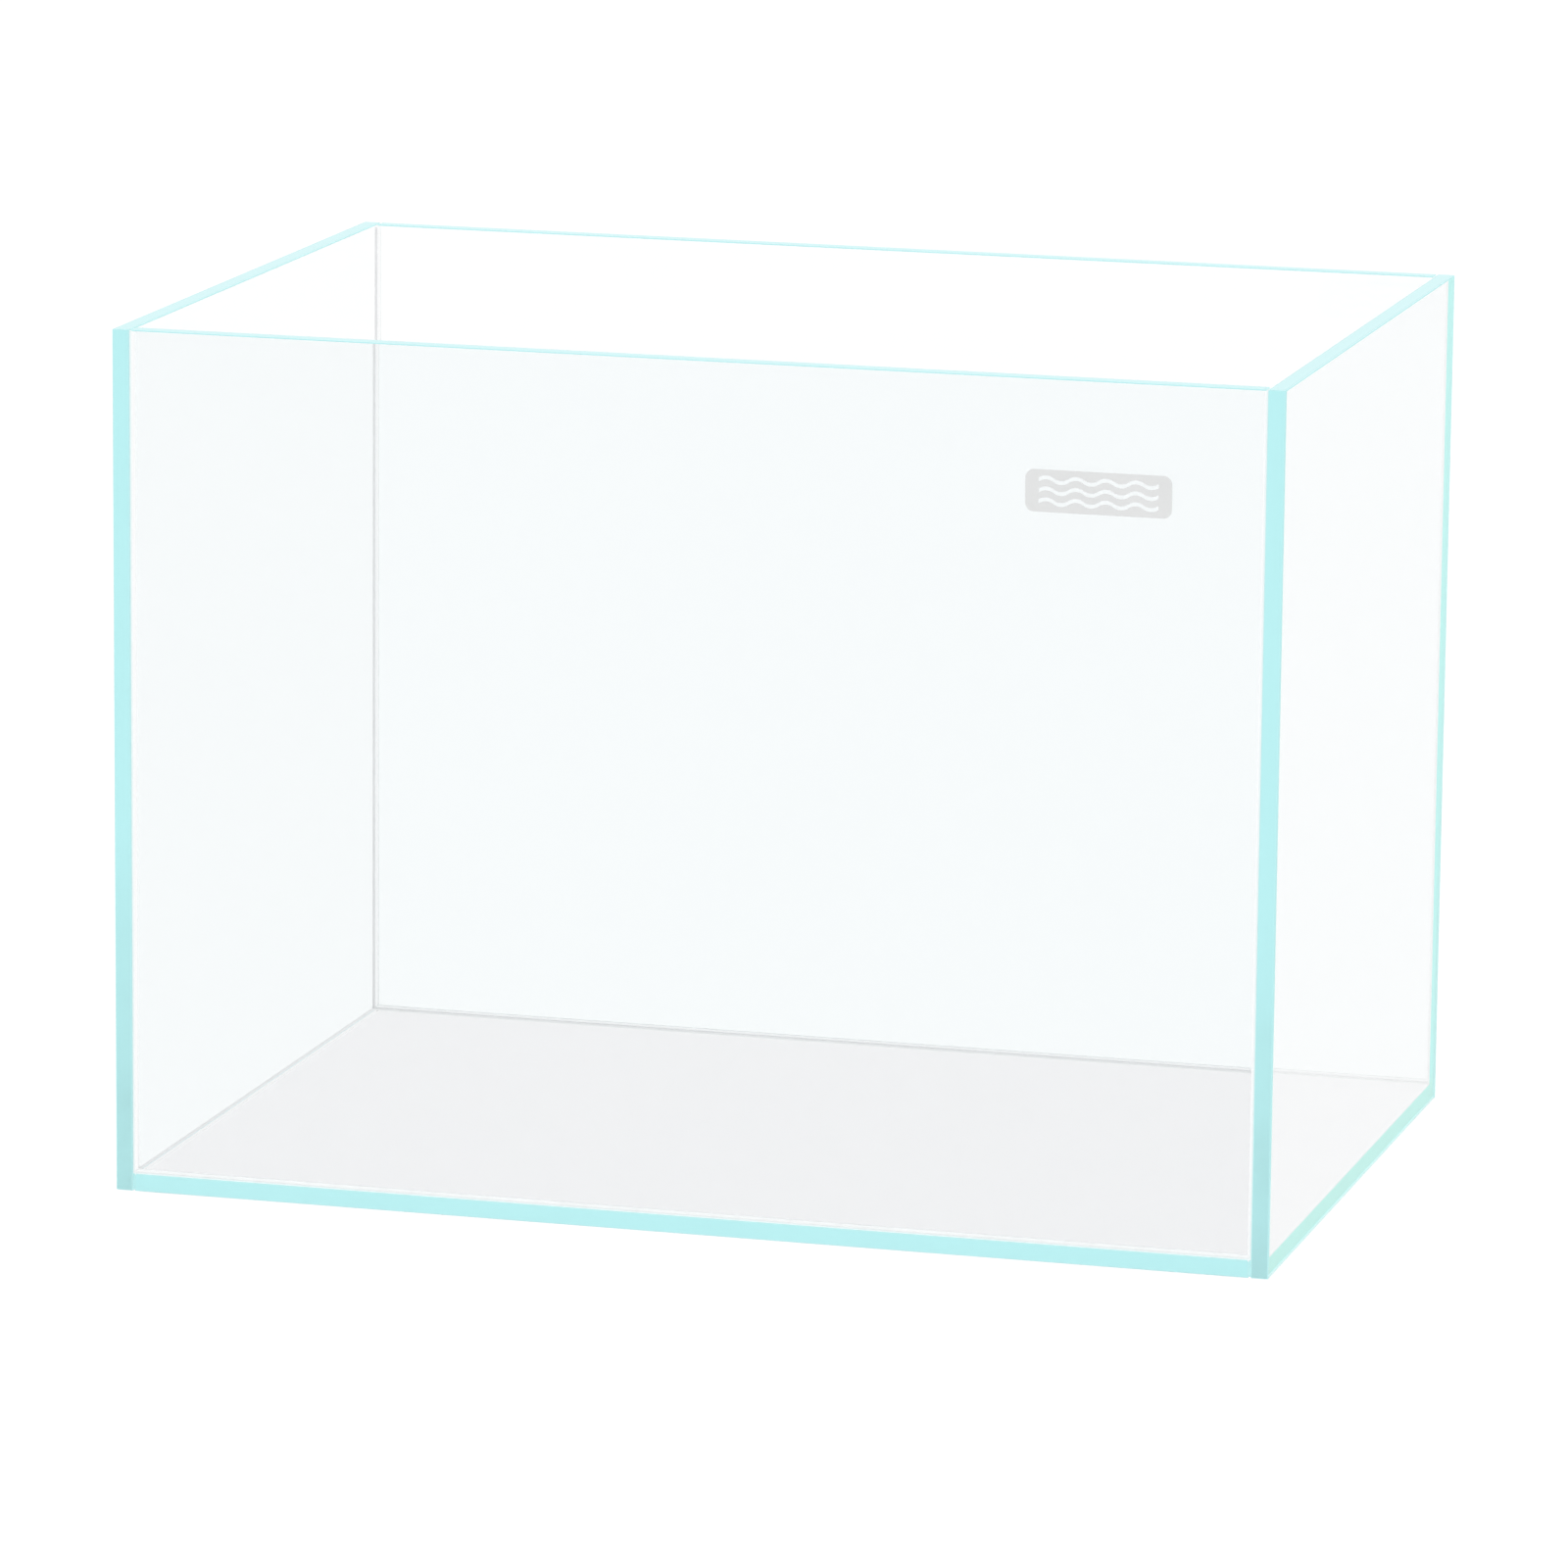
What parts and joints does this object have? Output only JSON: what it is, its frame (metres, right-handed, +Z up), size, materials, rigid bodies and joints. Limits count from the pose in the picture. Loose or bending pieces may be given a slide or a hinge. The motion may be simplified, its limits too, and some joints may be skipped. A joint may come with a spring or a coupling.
{
  "type": "glass aquarium tank",
  "caption": "Rimless open-top glass aquarium tank of clear low-iron panes with pale cyan polished edges, silicone joints and a small plain decal on the front.",
  "frame": {"origin": "middle of the underside, on the surface that the tank stands on", "axes": "+X along the width to the tank's right as seen from the front, -Y out of the front pane, +Z up to the open rim"},
  "size_m": [0.4, 0.2701, 0.295],
  "materials": {
    "low_iron_glass": "clear low-iron float glass, flat-polished edges that look pale cyan",
    "silicone": "clear neutral-cure silicone, smooth and slightly milky",
    "decal_vinyl": "pale grey matt vinyl film"
  },
  "bodies": {
    "root": {"base_pane": "low_iron_glass", "left_pane": "low_iron_glass", "right_pane": "low_iron_glass", "front_pane": "low_iron_glass", "back_pane": "low_iron_glass", "base_left_joint": "silicone", "base_right_joint": "silicone", "base_front_joint": "silicone", "base_back_joint": "silicone", "front_left_joint": "silicone", "front_right_joint": "silicone", "back_left_joint": "silicone", "back_right_joint": "silicone", "base_left_seal": "silicone", "base_right_seal": "silicone", "base_front_seal": "silicone", "base_back_seal": "silicone", "front_left_seal": "silicone", "front_right_seal": "silicone", "back_left_seal": "silicone", "back_right_seal": "silicone", "front_decal": "decal_vinyl"}
  },
  "joints": []
}
